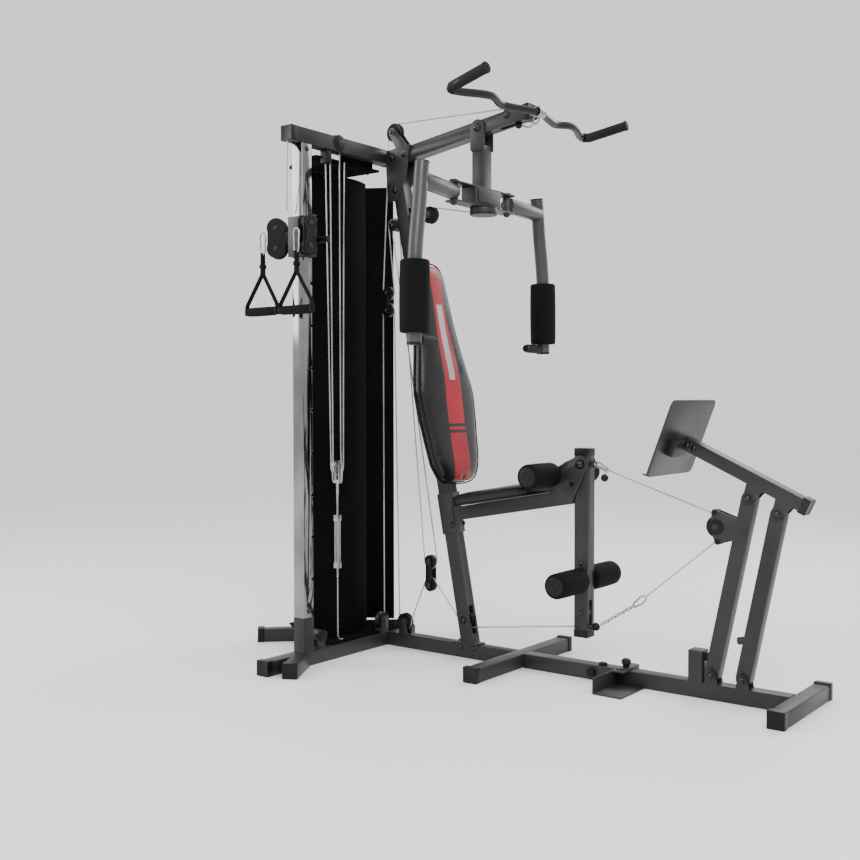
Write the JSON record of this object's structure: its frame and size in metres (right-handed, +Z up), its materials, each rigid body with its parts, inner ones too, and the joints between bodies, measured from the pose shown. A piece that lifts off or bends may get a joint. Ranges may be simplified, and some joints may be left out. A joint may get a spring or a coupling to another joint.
{
  "type": "multi station home gym",
  "caption": "Free-standing strength gym with overhead pulldown, press arms, adjustable cable column, seat with leg lever and leg press on a welded tube base.",
  "frame": {"origin": "on the floor under the middle of the cross foot", "axes": "+X forward to the leg press, +Y to the sitter's left, +Z up"},
  "size_m": [2.0876, 1.1835, 2.0004],
  "materials": {
    "frame": "dark grey hammered powder coat",
    "chrome": "polished",
    "steel": "zinc plated steel",
    "black": "moulded black nylon",
    "rubber": "closed cell foam",
    "leather": "black vinyl with a red stripe",
    "sheet": "black powder coat",
    "iron": "black enamelled cast weights",
    "strap": "woven webbing"
  },
  "bodies": {
    "root": {"back_pad": "leather", "chrome_post": "chrome", "cross_foot": "frame", "end_foot": "frame", "front_rail": "frame", "front_shroud": "sheet", "guide_frame": "sheet", "lat_arm": "frame", "link_cable": "steel", "low_cable": "steel", "lower_stack": "iron", "rear_foot": "frame", "rear_rail": "frame", "rear_shroud": "sheet", "seat_beam": "frame", "seat_pad": "leather", "side_rail": "frame", "stack_cable": "steel", "strand_cable": "steel", "top_beam": "frame", "tower_cable": "steel", "tower_float": "steel", "upper_cable": "steel", "upright_post": "frame"},
    "carriage": {"carriage": "frame"},
    "pull_pin": {"pull_pin": "black"},
    "rear_block": {"block_rear": "black"},
    "front_block": {"block_front": "black"},
    "rear_handle": {"strap_rear": "strap", "grip_rear": "rubber"},
    "front_handle": {"strap_front": "strap", "grip_front": "rubber"},
    "press_frame": {"press_frame": "frame"},
    "left_arm": {"arm_left": "frame", "foam_left": "rubber"},
    "right_arm": {"arm_right": "frame", "foam_right": "rubber"},
    "lat_bar": {"lat_bar": "frame"},
    "leg_lever": {"leg_lever": "frame"},
    "shin_rollers": {"shin_rollers": "rubber"},
    "thigh_rollers": {"thigh_rollers": "rubber"},
    "front_link": {"front_link": "frame"},
    "rear_link": {"rear_link": "frame"},
    "press_arm": {"press_arm": "frame", "foot_plate": "frame"},
    "foot_rest": {"foot_rest": "frame"},
    "foot_rest_knob": {"foot_rest_knob": "black"},
    "upper_stack": {"upper_stack": "iron"},
    "selector_pin": {"selector_pin": "chrome"},
    "mid_block": {"mid_block": "black"},
    "low_block": {"low_block": "black"},
    "tower_wheel": {"tower_pulley": "black"},
    "lat_rear_wheel": {"lat_rear_pulley": "black"},
    "lat_tip_wheel": {"lat_tip_pulley": "black"},
    "press_wheel": {"press_pulley": "black"},
    "rail_wheel": {"rail_pulley": "black"},
    "side_wheel": {"side_pulley": "black"},
    "upright_wheel": {"upright_pulley": "black"},
    "link_wheel": {"link_pulley": "black"}
  },
  "joints": [
    {"name": "stack_lift", "type": "slide", "parent": "root", "child": "upper_stack", "axis": [0, 0, 1], "range_m": [0, 0.45]},
    {"name": "lat_pull", "type": "slide", "parent": "root", "child": "lat_bar", "axis": [0, 0, -1], "range_m": [0, 0.9], "deforming": ["upper_cable"]},
    {"name": "mid_block_rise", "type": "slide", "parent": "root", "child": "mid_block", "axis": [0, 0, 1], "range_m": [0, 0.144], "deforming": ["upper_cable", "low_cable"]},
    {"name": "low_block_rise", "type": "slide", "parent": "root", "child": "low_block", "axis": [0, 0, 1], "range_m": [0, 0.225], "deforming": ["upper_cable", "low_cable"]},
    {"name": "selector_pull", "type": "slide", "parent": "upper_stack", "child": "selector_pin", "axis": [1, 0, 0], "range_m": [0, 0.055]},
    {"name": "carriage_height", "type": "slide", "parent": "root", "child": "carriage", "axis": [0, 0, 1], "range_m": [-1.05, 0.2], "deforming": ["tower_cable"]},
    {"name": "pull_pin_out", "type": "slide", "parent": "carriage", "child": "pull_pin", "axis": [1, 0, 0], "range_m": [0, 0.012], "stiffness_N_per_m": 400},
    {"name": "rear_block_swivel", "type": "hinge", "parent": "carriage", "child": "rear_block", "pos_m": [-0.68, -0.461, 1.52], "axis": [0, 0, 1], "range_deg": [-50, 45], "deforming": ["tower_cable"]},
    {"name": "front_block_swivel", "type": "hinge", "parent": "carriage", "child": "front_block", "pos_m": [-0.558, -0.468, 1.52], "axis": [0, 0, 1], "range_deg": [-12, 50]},
    {"name": "rear_handle_swing", "type": "hinge", "parent": "rear_block", "child": "rear_handle", "pos_m": [-0.761, -0.516, 1.54], "axis": [1, 0, 0], "range_deg": [-80, 5]},
    {"name": "front_handle_swing", "type": "hinge", "parent": "front_block", "child": "front_handle", "pos_m": [-0.568, -0.543, 1.536], "axis": [1, 0, 0], "range_deg": [-80, 3]},
    {"name": "press_swing", "type": "hinge", "parent": "root", "child": "press_frame", "pos_m": [-0.168, 0, 1.9215], "axis": [0, -1, 0], "range_deg": [0, 35], "deforming": ["upper_cable"]},
    {"name": "left_arm_fly", "type": "hinge", "parent": "press_frame", "child": "left_arm", "pos_m": [-0.171, -0.167, 1.672], "axis": [0, 0, 1], "range_deg": [-10, 80]},
    {"name": "right_arm_fly", "type": "hinge", "parent": "press_frame", "child": "right_arm", "pos_m": [-0.171, 0.167, 1.672], "axis": [0, 0, -1], "range_deg": [-10, 80]},
    {"name": "leg_lever_swing", "type": "hinge", "parent": "root", "child": "leg_lever", "pos_m": [0.256, 0, 0.728], "axis": [0, -1, 0], "range_deg": [0, 50], "deforming": ["low_cable", "link_cable"]},
    {"name": "shin_roller_turn", "type": "hinge", "parent": "leg_lever", "child": "shin_rollers", "pos_m": [0.257, 0, 0.333], "axis": [0, 1, 0], "continuous": true},
    {"name": "thigh_roller_turn", "type": "hinge", "parent": "root", "child": "thigh_rollers", "pos_m": [0.161, 0, 0.69], "axis": [0, 1, 0], "continuous": true},
    {"name": "front_link_swing", "type": "hinge", "parent": "root", "child": "front_link", "pos_m": [0.724, 0, 0.079], "axis": [0, 1, 0], "range_deg": [0, 30], "deforming": ["link_cable"]},
    {"name": "rear_link_swing", "type": "hinge", "parent": "root", "child": "rear_link", "pos_m": [0.826, 0, 0.079], "axis": [0, 1, 0], "range_deg": [0, 33]},
    {"name": "press_arm_tilt", "type": "hinge", "parent": "front_link", "child": "press_arm", "pos_m": [0.841, 0, 0.643], "axis": [0, -1, 0], "range_deg": [0, 28]},
    {"name": "foot_rest_slide", "type": "slide", "parent": "root", "child": "foot_rest", "axis": [1, 0, 0], "range_m": [-0.06, 0.06]},
    {"name": "foot_rest_knob_turn", "type": "hinge", "parent": "foot_rest", "child": "foot_rest_knob", "pos_m": [0.417, 0, 0.07], "axis": [0, 0, 1], "continuous": true},
    {"name": "tower_wheel_turn", "type": "hinge", "parent": "root", "child": "tower_wheel", "pos_m": [-0.62, -0.291, 1.876], "axis": [1, 0, 0], "continuous": true},
    {"name": "lat_rear_wheel_turn", "type": "hinge", "parent": "root", "child": "lat_rear_wheel", "pos_m": [-0.569, 0, 1.965], "axis": [0, 1, 0], "continuous": true},
    {"name": "lat_tip_wheel_turn", "type": "hinge", "parent": "root", "child": "lat_tip_wheel", "pos_m": [-0.044, 0, 1.948], "axis": [0, 1, 0], "continuous": true},
    {"name": "press_wheel_turn", "type": "hinge", "parent": "root", "child": "press_wheel", "pos_m": [-0.4, 0, 1.636], "axis": [0, 1, 0], "continuous": true},
    {"name": "rail_wheel_turn", "type": "hinge", "parent": "root", "child": "rail_wheel", "pos_m": [-0.524, 0, 0.095], "axis": [0, 1, 0], "continuous": true},
    {"name": "side_wheel_turn", "type": "hinge", "parent": "root", "child": "side_wheel", "pos_m": [-0.613, -0.036, 0.095], "axis": [1, 0, 0], "continuous": true},
    {"name": "upright_wheel_turn", "type": "hinge", "parent": "root", "child": "upright_wheel", "pos_m": [-0.233, 0, 0.138], "axis": [0, 1, 0], "continuous": true},
    {"name": "link_wheel_turn", "type": "hinge", "parent": "front_link", "child": "link_wheel", "pos_m": [0.735, 0, 0.547], "axis": [0, 1, 0], "continuous": true}
  ],
  "couplings": [
    {"joint": "lat_pull", "follows": "stack_lift", "ratio": 2},
    {"joint": "mid_block_rise", "follows": "stack_lift", "ratio": 0.32},
    {"joint": "low_block_rise", "follows": "stack_lift", "ratio": 0.5},
    {"joint": "rear_link_swing", "follows": "front_link_swing", "ratio": 1.085},
    {"joint": "press_arm_tilt", "follows": "front_link_swing", "ratio": 0.9}
  ]
}
